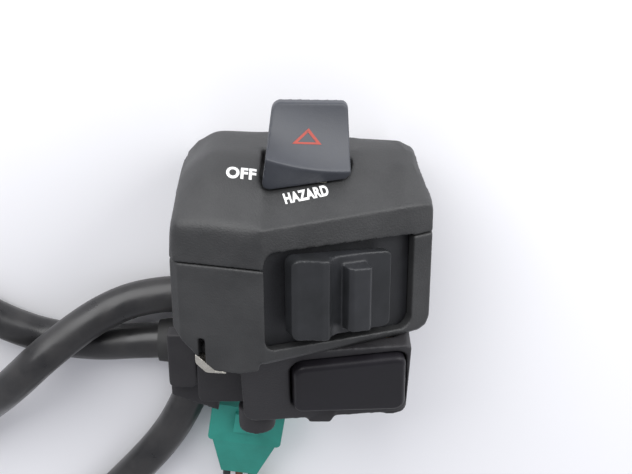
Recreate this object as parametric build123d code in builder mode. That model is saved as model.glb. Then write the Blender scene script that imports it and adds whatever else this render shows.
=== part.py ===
"""Handlebar switch cluster: two clamp shells, hazard, turn and horn switches, looms and a connector.

X runs along the handlebar, Y is up on the motorcycle and Z points at the rider's thumb.
The origin is on the handlebar's axis, in the parting plane of the two shells.
"""
import os
from math import atan2, cos, pi, radians, sin, tan

from build123d import *

os.makedirs("parts", exist_ok=True)

# Handlebar and clamp
bar_d = 22.2
bore_clearance = 0.05
seat_wall = 1.3
back_depth = 16.6
parting_gap = 0.16
overrun = 3.0

# Shells, along the bar and out towards the thumb
left_x = -26.7
nose_x = -9.6
ring_end_x = 16.5
right_x = 22.3
left_face_z = 27.4
nose_face_z = 31.5
right_face_z = 14.1
shell_wall = 2.2
edge_round = 1.6

# Upper shell, up from the parting plane
crease_y = 7.7
crease_right_y = 5.8
crease_drop = 0.5
top_y = 15.8
nose_top_y = 15.3
top_right_y = 13.4
shoulder_run = 1.8
shoulder_z = 18.5
shoulder_right_z = 9.5
shoulder_fall = 5.5
back_knee_share = 0.65
back_floor_share = 0.42
knee_depth_share = 0.8
lower_knee_share = 0.5
cavity_wall_share = 1.2
left_round_runs = (0.0, 0.9, 3.5, 6.9)
left_round_drops = (7.2, 5.2, 2.4, 0.0)
tip_round_backs = (3.5, 1.7, 0.5, 0.0)
tip_round_drops = (1.2, 3.7, 5.9, 7.2)
cavity_end_back = 3.7

# Lower shell, down from the parting plane
lower_y = 19.6
lower_right_y = 21.2
foot_y = 14.5
lower_lip = 1.0
left_block_y = 21.8
left_block_end_x = -10.5
left_block_floor_z = 2.0
chin_left_x = -18.8
chin_cut_x = -22.2
chin_cut_y = 19.0
chin_start_y = 14.0
lower_round_backs = (2.1, 0.6, 0.0)
lower_round_rises = (0.0, 0.8, 2.4)
window_low_left_y = 16.4
window_low_right_y = 19.6
window_left = 0.5
window_right = 32.2
window_corner_r = 2.2
visor_left_y = 3.1
visor_right_y = 0.4
cavity_y = 17.9
tip_floor_z = 11.3

# Hazard key in its notch
key_left_x = -9.9
key_right_x = 6.5
key_far_left_x = -7.9
key_far_right_x = 5.9
key_front_y = 11.6
key_far_y = 26.4
key_far_right_y = 24.6
key_left_z = 22.2
key_fall_share = 0.39
key_depth = 6.0
key_plate = 2.3
key_drop = 5.4
key_lips = (2.3, 1.5, 0.7)
key_lip_runs = (7.4, 3.6, 1.6)
key_gap = 0.3
scoop_sag = 1.3
key_corner_r = 1.5

# Hazard switch inside
carrier_x0 = -6.0
carrier_x1 = 2.0
carrier_y0 = 4.0
carrier_h = 2.0
carrier_lift = 0.35
hazard_base_h = 1.6
contact_t = 0.3
strip_share = 0.4
leaf_t = 0.3
spring_gap = 0.1
spring_wall = 0.35

# Turn switch, measured along the sloping face from the nose
panel_t = 1.4
panel_recess = 2.5
panel_margin = 0.3
panel_rise = 2.7
knob_left = 4.8
knob_right = 26.5
knob_top_y = 2.1
knob_top_right_y = -1.3
knob_bottom_y = -14.1
knob_bottom_right_y = -17.4
knob_plate_t = 1.9
knob_lift = -0.8
knob_shoulder_h = 2.8
knob_ridge_at = 10.9
knob_ridge_h = 4.0
knob_valley_at = 15.8
knob_valley_h = 1.7
knob_lobe_end = 20.8
knob_lobe_h = 4.3
knob_fillet = 0.7
knob_corner_r = 1.4
lobe_top_inset = 1.8
lobe_bottom_inset = 1.3
lobe_round = 0.5
turn_travel = 4.0
stem_left = 12.4
stem_right = 19.6
stem_top_y = -5.0
stem_bottom_y = -11.0
stem_depth = 4.9
stem_clearance = 0.06
slot_gap = 0.4
carriage_margin = 2.6
carriage_t = 2.2
carriage_gap = 0.3
rail_share = 0.6
turn_base_gap = 0.5
turn_base_right = 13.5
turn_base_left = 1.0
base_top_y = -3.0
base_bottom_y = -15.0
panel_gap = 0.2
plunger_r = 1.1
plunger_share = 0.62
plunger_len = 3.0
plunger_bore = 4.6

# Horn switch on its own tilted face
horn_left_x = -14.4
horn_right_x = 18.6
horn_bottom_y = -41.8
horn_bottom_left_y = -39.6
horn_corner_r = 3.0
horn_floor_z = 2.0
horn_face_z = 25.0
horn_fall_share = 0.2
horn_tilt_share = 0.42
horn_face_y = -24.0
pad_left_x = -4.6
pad_right_x = 17.3
pad_right_low_x = 18.0
pad_top_y = -23.1
pad_bottom_left_y = -36.2
pad_bottom_right_y = -39.2
pad_gap = 0.35
pad_proud = 1.7
pad_skirt = 2.2
pad_corner_r = 2.2
pad_fillet = 0.9
pad_travel = 2.0
pocket_depth = 5.6
horn_base_t = 1.0
horn_base_inset = 0.8
horn_spring_r = 2.4
horn_spring_wall = 0.5
horn_contact_reach = 6.5
horn_contact_len = 8.6

# Fasteners and small metal pieces
screw_r = 1.5
screw_head_r = 2.4
screw_head_h = 1.8
screw_clearance = 0.25
drive_r = 1.1
drive_depth = 1.2
rear_screw_xs = (-17.5, 10.0)
rear_screw_z = -13.5
front_screw_x = -18.0
front_screw_z = 17.6
screw_boss_wall = 1.4
small_screw_r = 1.1
horn_screw_x = -12.2
horn_screw_z = 12.0
horn_screw_x2 = 15.5
horn_screw_z2 = 4.4
boss_proud = 3.0
lug_x0 = -2.2
lug_x1 = 3.8
lug_z0 = 12.0
lug_z1 = 16.0
lug_drop = 1.4
lug_taper = 0.9
screw_bite = 6.0
front_boss_reach = 11.0
clip_side_t = 0.4
clip_tip_t = 0.4
clip_low_t = 0.7
clip_reach = 1.8
clip_side_drop = 1.7
clip_bend_r = 1.1
clip_end_x = -16.8
clip_tail = 5.0
clip_drop = 0.3
clip_slot_w = 1.3
clip_slot_in = 0.4
clip_slot_y = 15.2
clip_slot_depth = 2.6

# Loom outlet and looms
outlet_x0 = -31.0
outlet_x1 = -21.0
outlet_y0 = -43.4
outlet_low_y = -47.4
outlet_y1 = -32.5
outlet_shelf_z = 2.0
bracket_x = -25.0
bracket_y = -39.7
bracket_high_y = -27.0
bracket_top_z = 6.0
bridge_x = -24.0
bridge_y = -38.3
bridge_top_z = 14.0
bracket_round = 1.3
loom_d = 8.0
neck_len = 4.0
neck_wall = 1.1
neck_gap = 0.15
neck_taper_share = 0.6
exit_run = 8.0
exit_2_run = 10.5
exit_1_y = -38.0
loom_rest = 2.5
hump_room = 1.2
wire_d = 1.8
wire_pitch = 2.9
wire_run = 8.0
plug_1_x = -15.9
plug_1_y = -58.3
plug_turn = 9.0
plug_w = 16.8
plug_len = 9.6
boot_len = 9.4
plug_h = 9.0
plug_round = 1.0
latch_h = 1.2
plug_2_x0 = -23.0
plug_2_len = 20.0
plug_2_w = 11.0
plug_2_y = -26.5
plug_step_share = 0.86
boot_w_share = 0.5
boot_h_share = 0.6
latch_w_share = 0.34
latch_len_share = 0.5
latch_at_share = 0.12

bore_r = bar_d / 2 + bore_clearance
cavity_end_x = right_x - cavity_end_back
half_gap = parting_gap / 2
seat_z = bore_r + seat_wall
floor_z = -back_depth
slope = atan2(nose_face_z - right_face_z, right_x - nose_x)
face = Plane(origin=(nose_x, 0, nose_face_z), x_dir=(cos(slope), 0, -sin(slope)),
             z_dir=(sin(slope), 0, cos(slope)))
left_tilt = atan2(nose_face_z - left_face_z, nose_x - left_x)
left_face = Plane(origin=(left_x, 0, left_face_z), x_dir=(cos(left_tilt), 0, sin(left_tilt)),
                  z_dir=(-sin(left_tilt), 0, cos(left_tilt)))
horn_face = Plane(origin=(left_block_end_x, horn_face_y, horn_face_z), x_dir=(1, 0, -horn_fall_share),
                  z_dir=(horn_fall_share, -horn_tilt_share, 1))


def front_z(x):
    """Height of the outer face above the bar's axis at a place along the bar."""
    if x < nose_x:
        return left_face_z + (nose_face_z - left_face_z) * (x - left_x) / (nose_x - left_x)
    return nose_face_z - (x - nose_x) * tan(slope)


def crease_at(x):
    """Height up from the parting plane of the visor's crease at a place along the bar."""
    return crease_y + (crease_right_y - crease_y) * max(0, x - nose_x) / (right_x - nose_x)


def shoulder_at(x):
    """Height above the bar's axis of the upper shell's shoulder at a place along the bar."""
    return shoulder_z + (shoulder_right_z - shoulder_z) * max(0, x - nose_x) / (ring_end_x - nose_x)


def lower_edge(x):
    """Depth below the parting plane of the lower shell's underside at a place along the bar."""
    share = min(1, max(0, (x - nose_x) / (ring_end_x - nose_x)))
    return lower_y + (lower_right_y - lower_y) * share


def upper_front(x, top, inset=0.0):
    """Section of the upper shell across the bar, from the parting plane over the top to the bar's axis."""
    face_z = front_z(x) - inset
    crease = min(crease_at(x), top - shoulder_run) - inset
    return [
        (half_gap, face_z),
        (crease, face_z - crease_drop),
        (top - shoulder_run * top / top_y - inset, shoulder_at(x) - inset),
        (top - inset, shoulder_at(x) - shoulder_fall - inset),
        (top - inset, 0),
    ]


def upper_outline(x, top, inset=0.0):
    """Whole section of the upper shell, with the half of the clamp behind the bar."""
    share = top / top_y
    return upper_front(x, top, inset) + [
        (foot_y * back_knee_share * share, floor_z * knee_depth_share),
        (foot_y * back_floor_share * share, floor_z + inset),
        (half_gap, floor_z + inset),
    ]


def lower_outline(x, inset=0.0):
    """Section of the lower shell across the bar, from the parting plane down and round to the back."""
    face_z = front_z(x) - inset
    bottom = lower_edge(x) - inset
    return [
        (-half_gap, face_z),
        (-bottom + lower_lip, face_z),
        (-bottom, face_z - lower_lip),
        (-bottom, 0),
        (-foot_y + inset, floor_z * lower_knee_share),
        (-foot_y + inset, floor_z + inset),
        (-half_gap, floor_z + inset),
    ]


def cavity_outline():
    """Room for the switches, seen along Y: above the bar seat and a wall below the faces."""
    ridge_z = nose_face_z - shell_wall / cos(slope)
    end_x = nose_x + (ridge_z - seat_z) / tan(slope)
    side_x = left_x + shell_wall
    return [(side_x, seat_z), (side_x, front_z(side_x) - shell_wall), (nose_x, ridge_z), (end_x, seat_z)]


def upper_cavity_outline(x, top):
    """Section of the room in the upper shell, more than a wall inside the outline."""
    ceiling = max(front_z(x) - shell_wall / cos(slope), seat_z + panel_gap)
    inside = shell_wall * cavity_wall_share
    return [(-overrun, seat_z), (-overrun, ceiling), (crease_at(x) - inside, ceiling),
            (top - shoulder_run - inside, seat_z)]


def window_low_y(s):
    """Depth of the window's lower edge at a place along the sloping face."""
    fall = (window_low_right_y - window_low_left_y) / (window_right - window_left)
    return window_low_left_y + fall * (s - window_left)


def key_z(x):
    """Height of the hazard key's front edge at a place along the bar."""
    return key_left_z - key_fall_share * (x - key_left_x)


def panel_corners(grow=0.0):
    """The turn switch's panel on the sloping face, a margin wider than the window at its lower edge."""
    left = window_left + panel_gap - grow
    right = window_right + panel_margin + grow
    return [(left, panel_rise + grow), (left, -window_low_y(left) - panel_margin - grow),
            (right, -window_low_y(right) - panel_margin - grow), (right, panel_rise + grow)]


# Upper shell
with BuildPart() as upper_shell:
    insets = (edge_round, 0.0, 0.0, 0.0)
    rounding = [(left_x + run, top_y - drop, inset)
                for run, drop, inset in zip(left_round_runs, left_round_drops, insets)]
    for x, top, inset in [*rounding, (nose_x, nose_top_y, 0.0), (ring_end_x, top_right_y, 0.0)]:
        with BuildSketch(Plane.YZ.offset(x)):
            Polygon(*upper_outline(x, top, inset), align=None)
    loft(ruled=True)
    tip = [(right_x - back, top_right_y - drop) for back, drop in zip(tip_round_backs, tip_round_drops)]
    for x, top in [(ring_end_x, top_right_y), *tip]:
        with BuildSketch(Plane.YZ.offset(x)):
            Polygon(*upper_front(x, top), (half_gap, 0), align=None)
    loft(ruled=True)
    for x, top in (rounding[2][:2], (nose_x, nose_top_y), (cavity_end_x, top_right_y)):
        with BuildSketch(Plane.YZ.offset(x)):
            Polygon(*upper_cavity_outline(x, top), align=None)
    loft(ruled=True, mode=Mode.SUBTRACT)
    with BuildSketch(face) as window:
        Polygon((window_left, -overrun), (window_left, visor_left_y), (window_right, visor_right_y),
                (window_right, -overrun), align=None)
        fillet(window.vertices().sort_by(Axis.Y)[-1], window_corner_r)
    extrude(amount=overrun, both=True, mode=Mode.SUBTRACT)
    with BuildSketch(Plane.YZ.offset(left_x - overrun)):
        Circle(bore_r)
    extrude(amount=right_x - left_x + overrun * 2, mode=Mode.SUBTRACT)
    notch_floor = key_z(key_right_x) - key_depth - key_gap
    with BuildSketch(Plane.XY.offset(nose_face_z)) as notch:
        with Locations(((key_left_x + key_right_x) / 2, key_front_y - key_gap)):
            Rectangle(key_right_x - key_left_x + key_gap * 2, top_y,
                      align=(Align.CENTER, Align.MIN))
        fillet(notch.vertices().group_by(Axis.Y)[0], key_corner_r + key_gap)
    extrude(amount=notch_floor - nose_face_z, mode=Mode.SUBTRACT)
    front_boss_r = screw_r + screw_boss_wall
    with BuildSketch(Plane.XZ.offset(-half_gap)):
        with Locations((front_screw_x, front_screw_z)):
            Circle(front_boss_r)
    extrude(amount=-front_boss_reach)
    with BuildSketch(Plane.XZ.offset(-half_gap)):
        with Locations(*[(x, rear_screw_z) for x in rear_screw_xs], (front_screw_x, front_screw_z)):
            Circle(screw_r + screw_clearance)
    extrude(amount=-screw_bite - screw_clearance, mode=Mode.SUBTRACT)
    with BuildSketch(Plane.XY.offset(seat_z)):
        with Locations(((carrier_x0 + carrier_x1) / 2, carrier_y0 - key_gap)):
            Rectangle(carrier_x1 - carrier_x0 + key_gap * 2, key_front_y - carrier_y0 + key_gap,
                      align=(Align.CENTER, Align.MIN))
    extrude(amount=hazard_base_h + carrier_lift + carrier_h + leaf_t + key_gap, mode=Mode.SUBTRACT)
upper_shell.part.label = "upper_shell"

# Lower shell
with BuildPart() as lower_shell:
    for x, inset in ((left_x, edge_round), (left_x + edge_round, 0.0), (nose_x, 0.0), (ring_end_x, 0.0)):
        with BuildSketch(Plane.YZ.offset(x)):
            Polygon(*lower_outline(x, inset), align=None)
    loft(ruled=True)
    tip = [(right_x - back, lower_right_y - rise)
           for back, rise in zip(lower_round_backs, lower_round_rises)]
    for x, bottom in [(ring_end_x, lower_right_y), *tip]:
        z = front_z(x)
        with BuildSketch(Plane.YZ.offset(x)):
            Polygon((-half_gap, z), (-bottom + lower_lip, z), (-bottom, z - lower_lip),
                    (-bottom, tip_floor_z), (-half_gap, tip_floor_z), align=None)
    loft(ruled=True)
    with BuildSketch(Plane.XY.offset(left_block_floor_z)):
        Polygon((chin_cut_x, -chin_start_y), (chin_cut_x, -chin_cut_y), (chin_left_x, -left_block_y),
                (horn_left_x, -left_block_y), (left_block_end_x, -lower_y - lower_lip),
                (left_block_end_x, -chin_start_y), align=None)
    extrude(amount=nose_face_z - left_block_floor_z)
    split(bisect_by=left_face, keep=Keep.BOTTOM)
    with BuildSketch(Plane.XY.offset(floor_z - overrun)):
        Polygon((left_x - overrun, -chin_start_y), (left_x, -chin_start_y), (chin_cut_x, -chin_cut_y),
                (chin_left_x, -left_block_y), (chin_left_x, -left_block_y - overrun),
                (left_x - overrun, -left_block_y - overrun), align=None)
    extrude(amount=nose_face_z - floor_z + overrun * 2, mode=Mode.SUBTRACT)
    with BuildSketch(Plane.XZ.offset(-overrun)):
        Polygon(*cavity_outline(), align=None)
    extrude(amount=cavity_y + overrun, mode=Mode.SUBTRACT)
    with BuildSketch(face) as lower_window:
        Polygon((window_left, overrun), (window_left, -window_low_left_y),
                (window_right, -window_low_right_y), (window_right, overrun), align=None)
        fillet(lower_window.vertices().sort_by(Axis.Y)[:2], window_corner_r)
    extrude(amount=overrun, both=True, mode=Mode.SUBTRACT)
    with BuildSketch(face.offset(panel_gap - panel_recess)):
        Polygon(*panel_corners(panel_gap), align=None)
    extrude(amount=-panel_t - panel_gap * 2, mode=Mode.SUBTRACT)
    with BuildSketch(Plane.XZ.offset(half_gap)):
        with Locations((front_screw_x, front_screw_z)):
            Circle(screw_r + screw_boss_wall)
    extrude(amount=cavity_y + shell_wall)
    with BuildSketch(Plane.YZ.offset(left_x - overrun)):
        Circle(bore_r)
    extrude(amount=right_x - left_x + overrun * 2, mode=Mode.SUBTRACT)
    with BuildSketch(Plane.XZ.offset(-overrun)):
        with Locations(*[(x, rear_screw_z) for x in rear_screw_xs], (front_screw_x, front_screw_z)):
            Circle(screw_r + screw_clearance)
    extrude(amount=left_block_y + overrun * 2, mode=Mode.SUBTRACT)
    with BuildSketch(Plane.XZ.offset(foot_y - screw_head_h)):
        with Locations(*[(x, rear_screw_z) for x in rear_screw_xs]):
            Circle(screw_head_r + screw_clearance)
    extrude(amount=overrun, mode=Mode.SUBTRACT)
    with BuildSketch(Plane.XZ.offset(left_block_y - screw_head_h)):
        with Locations((front_screw_x, front_screw_z)):
            Circle(screw_head_r + screw_clearance)
    extrude(amount=overrun, mode=Mode.SUBTRACT)
    with BuildSketch(left_face):
        with Locations((chin_cut_x + clip_slot_in - left_x, -clip_slot_y)):
            Rectangle(clip_slot_w, chin_cut_y, align=(Align.MIN, Align.MAX))
    extrude(amount=-clip_slot_depth, mode=Mode.SUBTRACT)
    with BuildSketch(Plane.XZ.offset(lower_y - shell_wall)):
        with Locations((horn_screw_x2, horn_screw_z2)):
            Circle(small_screw_r + screw_clearance)
        with Locations((horn_screw_x, horn_screw_z)):
            Circle(small_screw_r + screw_clearance)
    extrude(amount=left_block_y, mode=Mode.SUBTRACT)
lower_shell.part.label = "lower_shell"

# Hazard key and the switch under it
with BuildPart() as hazard_key:
    key_xs = (key_left_x, (key_left_x + key_right_x) / 2, key_right_x)
    for x, lift, run in zip(key_xs, key_lips, key_lip_runs):
        z = key_z(x)
        lip = (key_front_y + run, z + lift)
        far = (key_far_y, z - key_drop)
        middle = ((lip[0] + far[0]) / 2, (lip[1] + far[1]) / 2 - scoop_sag)
        with BuildSketch(Plane.YZ.offset(x)):
            with BuildLine():
                Polyline((key_front_y, z), lip)
                ThreePointArc(lip, middle, far)
                Polyline(far, (key_far_y, z - key_drop - key_plate), (top_y + key_gap * 2, z - key_depth),
                         (key_front_y, z - key_depth), (key_front_y, z))
            make_face()
    loft()
    with BuildSketch(Plane.XY.offset(floor_z)) as key_plan:
        Polygon((key_left_x, key_front_y), (key_right_x, key_front_y), (key_far_right_x, key_far_right_y),
                (key_far_left_x, key_far_y), align=None)
        fillet(key_plan.vertices(), key_corner_r)
    extrude(amount=nose_face_z - floor_z, mode=Mode.INTERSECT)
hazard_key.part.label = "hazard_key"

carrier_z = seat_z + hazard_base_h + carrier_lift
with BuildPart() as hazard_carrier:
    with BuildSketch(Plane.XY.offset(carrier_z)):
        with Locations(((carrier_x0 + carrier_x1) / 2, carrier_y0)):
            Rectangle(carrier_x1 - carrier_x0, key_front_y - carrier_y0, align=(Align.CENTER, Align.MIN))
    extrude(amount=carrier_h)
hazard_carrier.part.label = "hazard_carrier"

strip_y = (carrier_y0 + key_front_y) / 2
strip_len = key_front_y - carrier_y0 - shell_wall
strip_w = (carrier_x1 - carrier_x0) * strip_share
with BuildPart() as hazard_contact:
    with BuildSketch(Plane.XY.offset(carrier_z)):
        with Locations(((carrier_x0 + carrier_x1) / 2, strip_y)):
            SlotOverall(strip_len, strip_w, rotation=90)
    extrude(amount=-contact_t)
hazard_contact.part.label = "hazard_contact"

with BuildPart() as hazard_detent_leaf:
    with BuildSketch(Plane.XY.offset(carrier_z + carrier_h)):
        with Locations(((carrier_x0 + carrier_x1) / 2, strip_y)):
            SlotOverall(strip_len, strip_w, rotation=90)
    extrude(amount=leaf_t)
hazard_detent_leaf.part.label = "hazard_detent_leaf"

with BuildPart() as hazard_base:
    with BuildSketch(Plane.XY.offset(seat_z)):
        with Locations(((carrier_x0 + carrier_x1) / 2, carrier_y0)):
            Rectangle(carrier_x1 - carrier_x0, key_front_y - carrier_y0 - key_gap * 2,
                      align=(Align.CENTER, Align.MIN))
    extrude(amount=hazard_base_h)
hazard_base.part.label = "hazard_base"

# Turn switch on the sloping face
panel_top = -panel_recess
panel_bottom = panel_top - panel_t
stem_s = (stem_left + stem_right) / 2
stem_y = (stem_top_y + stem_bottom_y) / 2
stem_w = stem_right - stem_left
stem_h = stem_top_y - stem_bottom_y
carriage_top = panel_bottom - carriage_gap
carriage_bottom = carriage_top - carriage_t
turn_base_top = carriage_bottom - turn_base_gap
with BuildPart() as turn_panel:
    with BuildSketch(face.offset(panel_bottom)):
        Polygon(*panel_corners(), align=None)
        with Locations((stem_s, stem_y)):
            Rectangle(stem_w + turn_travel * 2 + slot_gap * 2, stem_h + slot_gap * 2, mode=Mode.SUBTRACT)
    extrude(amount=panel_t)
turn_panel.part.label = "turn_panel"

def knob_edge(s, high, low):
    """Height of a slanting edge of the knob at a place along the face, between its two ends."""
    return high + (low - high) * (s - knob_left) / (knob_right - knob_left)


knob_side = Plane(origin=(nose_x, knob_top_y, nose_face_z), x_dir=face.x_dir, z_dir=(0, -1, 0))
knob_h = knob_top_y - knob_bottom_right_y
with BuildPart() as turn_lobe:
    with BuildSketch(knob_side):
        Polygon((knob_valley_at - knob_fillet, knob_lift), (knob_valley_at, knob_lobe_h - knob_fillet),
                (knob_valley_at + knob_fillet, knob_lobe_h), (knob_lobe_end - knob_fillet, knob_lobe_h),
                (knob_lobe_end, knob_lobe_h - knob_fillet), (knob_lobe_end, knob_lift), align=None)
    extrude(amount=knob_h)
    with BuildSketch(face.offset(knob_lift)):
        lobe_ends = (knob_valley_at - knob_fillet, knob_lobe_end)
        high = [(s, knob_edge(s, knob_top_y, knob_top_right_y) - lobe_top_inset) for s in lobe_ends]
        low = [(s, knob_edge(s, knob_bottom_y, knob_bottom_right_y) + lobe_bottom_inset) for s in lobe_ends]
        Polygon(*high, *low[::-1], align=None)
    extrude(amount=knob_lobe_h + knob_ridge_h, mode=Mode.INTERSECT)

with BuildPart() as turn_knob:
    with BuildSketch(knob_side):
        with BuildLine():
            plate_h = knob_lift + knob_plate_t
            shoulder = (knob_left + knob_fillet, knob_shoulder_h)
            crest = (knob_ridge_at - knob_fillet, knob_ridge_h)
            drop = (knob_ridge_at + knob_fillet, knob_ridge_h)
            valley = (knob_valley_at, knob_valley_h)
            climb = ((shoulder[0] + crest[0]) / 2, (shoulder[1] + crest[1]) / 2 - lobe_round / 2)
            sag = ((drop[0] + valley[0]) / 2, knob_valley_h + lobe_round)
            Polyline((knob_left, knob_lift), (knob_left, knob_shoulder_h - knob_fillet), shoulder)
            ThreePointArc(shoulder, climb, crest)
            Line(crest, drop)
            ThreePointArc(drop, sag, valley)
            Polyline(valley, (knob_lobe_end, plate_h), (knob_right, plate_h), (knob_right, knob_lift),
                     (knob_left, knob_lift))
        make_face()
    extrude(amount=knob_h)
    with BuildSketch(face.offset(knob_lift)) as knob_plan:
        Polygon((knob_left, knob_top_y), (knob_left, knob_bottom_y), (knob_right, knob_bottom_right_y),
                (knob_right, knob_top_right_y), align=None)
        fillet(knob_plan.vertices(), knob_corner_r)
    extrude(amount=knob_lobe_h + knob_ridge_h, mode=Mode.INTERSECT)
    add(turn_lobe.part)
    with BuildSketch(face.offset(knob_lift)):
        with Locations((stem_s, stem_y)):
            Rectangle(stem_w, stem_h)
    extrude(amount=-knob_lift - stem_depth)
turn_knob.part.label = "turn_knob"

with BuildPart() as turn_carriage:
    with BuildSketch(face.offset(carriage_bottom)):
        with Locations((stem_s, stem_y)):
            Rectangle(stem_w + carriage_margin * 2, stem_h + carriage_margin * 2)
            Rectangle(stem_w + stem_clearance * 2, stem_h + stem_clearance * 2, mode=Mode.SUBTRACT)
    extrude(amount=carriage_t)
turn_carriage.part.label = "turn_carriage"

rail_y = stem_h / 2 + carriage_margin / 2
with BuildPart() as turn_contacts:
    with BuildSketch(face.offset(carriage_bottom)):
        with Locations((stem_s, stem_y - rail_y), (stem_s, stem_y + rail_y)):
            SlotOverall(stem_w, carriage_margin * rail_share)
    extrude(amount=-contact_t)
turn_contacts.part.label = "turn_contacts"

base_high = face.from_local_coords(Vector(turn_base_left, 0, turn_base_top))
base_low = face.from_local_coords(Vector(turn_base_right, 0, turn_base_top))
plunger_s = (turn_base_left + turn_base_right) * plunger_share
with BuildPart() as turn_base:
    with BuildSketch(Plane.XZ.offset(-base_top_y)):
        Polygon((base_high.X, seat_z), (base_high.X, base_high.Z), (base_low.X, base_low.Z),
                (base_low.X, seat_z), align=None)
    extrude(amount=base_top_y - base_bottom_y)
    with BuildSketch(face.offset(turn_base_top)):
        with Locations((plunger_s, stem_y)):
            Circle(plunger_r + spring_gap)
    extrude(amount=-plunger_bore, mode=Mode.SUBTRACT)
turn_base.part.label = "turn_base"

with BuildPart() as turn_plunger:
    with BuildSketch(face.offset(turn_base_top + turn_base_gap - spring_gap * 2)):
        with Locations((plunger_s, stem_y)):
            Circle(plunger_r)
    extrude(amount=-plunger_len)
turn_plunger.part.label = "turn_plunger"

with BuildPart() as turn_plunger_spring:
    with BuildSketch(face.offset(turn_base_top - plunger_bore)):
        with Locations((plunger_s, stem_y)):
            Circle(plunger_r)
            Circle(plunger_r - spring_wall, mode=Mode.SUBTRACT)
    extrude(amount=plunger_bore - plunger_len + turn_base_gap - spring_gap * 2)
turn_plunger_spring.part.label = "turn_plunger_spring"

# Horn switch under the window
pad_x = (pad_left_x + pad_right_x) / 2
pad_y = (pad_top_y + pad_bottom_left_y) / 2
pad_centre_z = (horn_face_z - horn_fall_share * (pad_x - left_block_end_x)
                + horn_tilt_share * (pad_y - horn_face_y))
pad_face = Plane(origin=(pad_x, pad_y, pad_centre_z), x_dir=horn_face.x_dir, z_dir=horn_face.z_dir)


def pad_corners(grow=0.0):
    """The button's four corners on its tilted face, as seen from the front, pushed out by a gap."""
    places = [(pad_left_x - grow, pad_bottom_left_y - grow),
              (pad_right_low_x + grow, pad_bottom_right_y - grow),
              (pad_right_x + grow, pad_top_y + grow), (pad_left_x - grow, pad_top_y + grow)]
    corners = []
    for x, y in places:
        z = horn_face_z - horn_fall_share * (x - left_block_end_x) + horn_tilt_share * (y - horn_face_y)
        corner = pad_face.to_local_coords(Vector(x, y, z))
        corners.append((corner.X, corner.Y))
    return corners


lug_share = (lug_x0 - horn_left_x) / (horn_right_x - horn_left_x)
lug_y = horn_bottom_left_y + (horn_bottom_y - horn_bottom_left_y) * lug_share
with BuildPart() as horn_housing:
    with BuildSketch(Plane.XY.offset(horn_floor_z)) as footprint:
        Polygon((left_block_end_x, -lower_y), (nose_x, -lower_y), (ring_end_x, -lower_right_y),
                (horn_right_x - lower_lip, -lower_right_y),
                (horn_right_x, -lower_right_y - lower_lip), (horn_right_x, horn_bottom_y),
                (horn_left_x, horn_bottom_left_y), (horn_left_x, -left_block_y),
                (left_block_end_x, -lower_y - lower_lip), align=None)
        fillet(footprint.vertices().sort_by(Axis.Y)[:2], horn_corner_r)
    extrude(amount=horn_face_z + overrun)
    split(bisect_by=horn_face, keep=Keep.BOTTOM)
    with BuildSketch(pad_face) as pocket:
        Polygon(*pad_corners(pad_gap), align=None)
        fillet(pocket.vertices(), pad_corner_r + pad_gap)
    extrude(amount=-pocket_depth, mode=Mode.SUBTRACT)
    with BuildSketch(Plane.XZ.offset(-horn_bottom_y - shell_wall)):
        with Locations((horn_screw_x, horn_screw_z), (horn_screw_x2, horn_screw_z2)):
            Circle(screw_head_r + screw_boss_wall)
    extrude(amount=shell_wall + boss_proud)
    with BuildSketch(Plane.XY.offset(lug_z0)):
        Polygon((lug_x0, lug_y + shell_wall), (lug_x0, lug_y), (lug_x0 + lug_taper, lug_y - lug_drop),
                (lug_x1 - lug_taper, lug_y - lug_drop), (lug_x1, lug_y), (lug_x1, lug_y + shell_wall),
                align=None)
    extrude(amount=lug_z1 - lug_z0)
    with BuildSketch(Plane.XZ.offset(lower_y)):
        with Locations((horn_screw_x, horn_screw_z), (horn_screw_x2, horn_screw_z2)):
            Circle(small_screw_r + screw_clearance)
    extrude(amount=-horn_bottom_y, mode=Mode.SUBTRACT)
    with BuildSketch(Plane.XZ.offset(-horn_bottom_y + boss_proud - screw_head_h)):
        with Locations((horn_screw_x, horn_screw_z), (horn_screw_x2, horn_screw_z2)):
            Circle(screw_head_r + screw_clearance)
    extrude(amount=overrun, mode=Mode.SUBTRACT)
horn_housing.part.label = "horn_housing"

with BuildPart() as horn_button:
    with BuildSketch(pad_face.offset(-pad_skirt)) as pad_outline:
        Polygon(*pad_corners(), align=None)
        fillet(pad_outline.vertices(), pad_corner_r)
    extrude(amount=pad_skirt + pad_proud)
    fillet(horn_button.faces().sort_by(Axis((pad_x, pad_y, pad_centre_z), horn_face.z_dir))[-1].edges(),
           pad_fillet)
    with BuildSketch(pad_face.offset(-pad_skirt)):
        Circle(horn_spring_r + spring_gap * 2)
    extrude(amount=pad_skirt + pad_proud - shell_wall / 2, mode=Mode.SUBTRACT)
horn_button.part.label = "horn_button"

with BuildPart() as horn_base:
    with BuildSketch(pad_face.offset(-pocket_depth)) as base_outline:
        Polygon(*pad_corners(-horn_base_inset), align=None)
        fillet(base_outline.vertices(), pad_corner_r)
    extrude(amount=horn_base_t)
horn_base.part.label = "horn_base"

spring_bottom = -pocket_depth + horn_base_t
spring_top = pad_proud - shell_wall / 2 - pad_travel - spring_gap
with BuildPart() as horn_spring:
    with BuildSketch(pad_face.offset(spring_bottom)):
        Circle(horn_spring_r)
        Circle(horn_spring_r - horn_spring_wall, mode=Mode.SUBTRACT)
    extrude(amount=spring_top - spring_bottom)
horn_spring.part.label = "horn_spring"

with BuildPart() as horn_contact:
    with BuildSketch(pad_face.offset(spring_bottom)):
        with Locations((horn_contact_reach, 0), (-horn_contact_reach, 0)):
            SlotOverall(horn_contact_len, horn_spring_r, rotation=90)
    extrude(amount=contact_t)
horn_contact.part.label = "horn_contact"

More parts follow.
